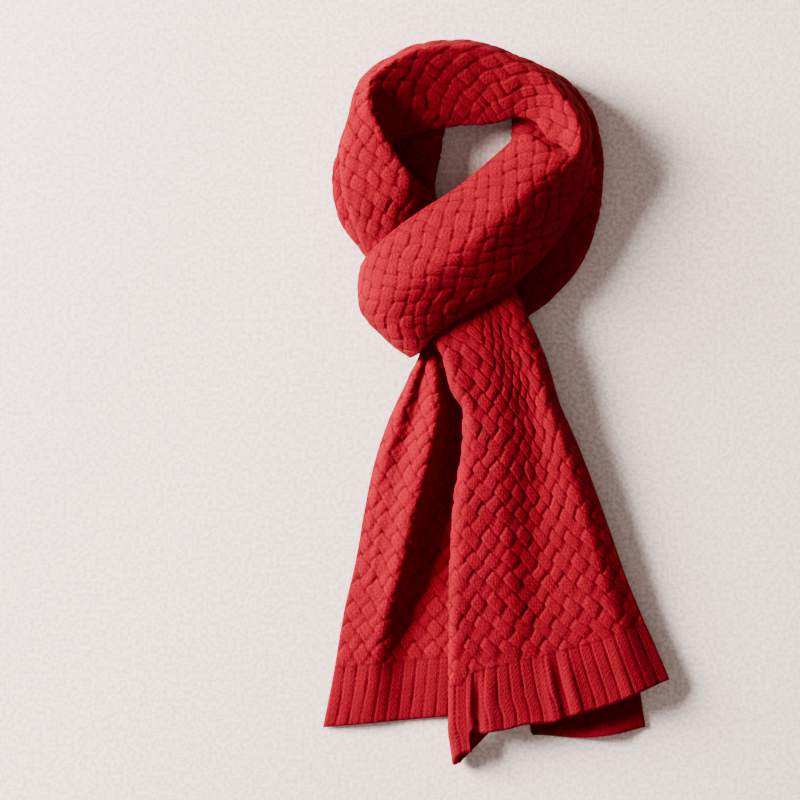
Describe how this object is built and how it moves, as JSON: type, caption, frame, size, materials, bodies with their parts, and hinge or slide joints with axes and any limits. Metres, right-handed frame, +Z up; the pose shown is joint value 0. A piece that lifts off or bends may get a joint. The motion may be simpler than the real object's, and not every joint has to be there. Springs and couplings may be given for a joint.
{
  "type": "knit scarf",
  "caption": "Long basket-cable knit scarf with ribbed ends, doubled and tied in a looped knot, laid flat on a surface.",
  "frame": {"origin": "bottom centre of the bounding box, on the surface that the scarf lies on", "axes": "+Y from the tails up to the neck loop, +Z up out of the surface, +X across the scarf"},
  "size_m": [0.2597, 0.5392, 0.0634],
  "materials": {
    "red_knit": "matte brushed wool, basket-cable knit",
    "red_rib": "matte brushed wool, broad rib"
  },
  "bodies": {
    "root": {"neck_under": "red_knit", "neck_over": "red_knit", "knot_band": "red_knit", "back_tail": "red_knit", "back_tail_rib": "red_rib", "front_tail": "red_knit", "front_tail_rib": "red_rib"}
  },
  "joints": []
}
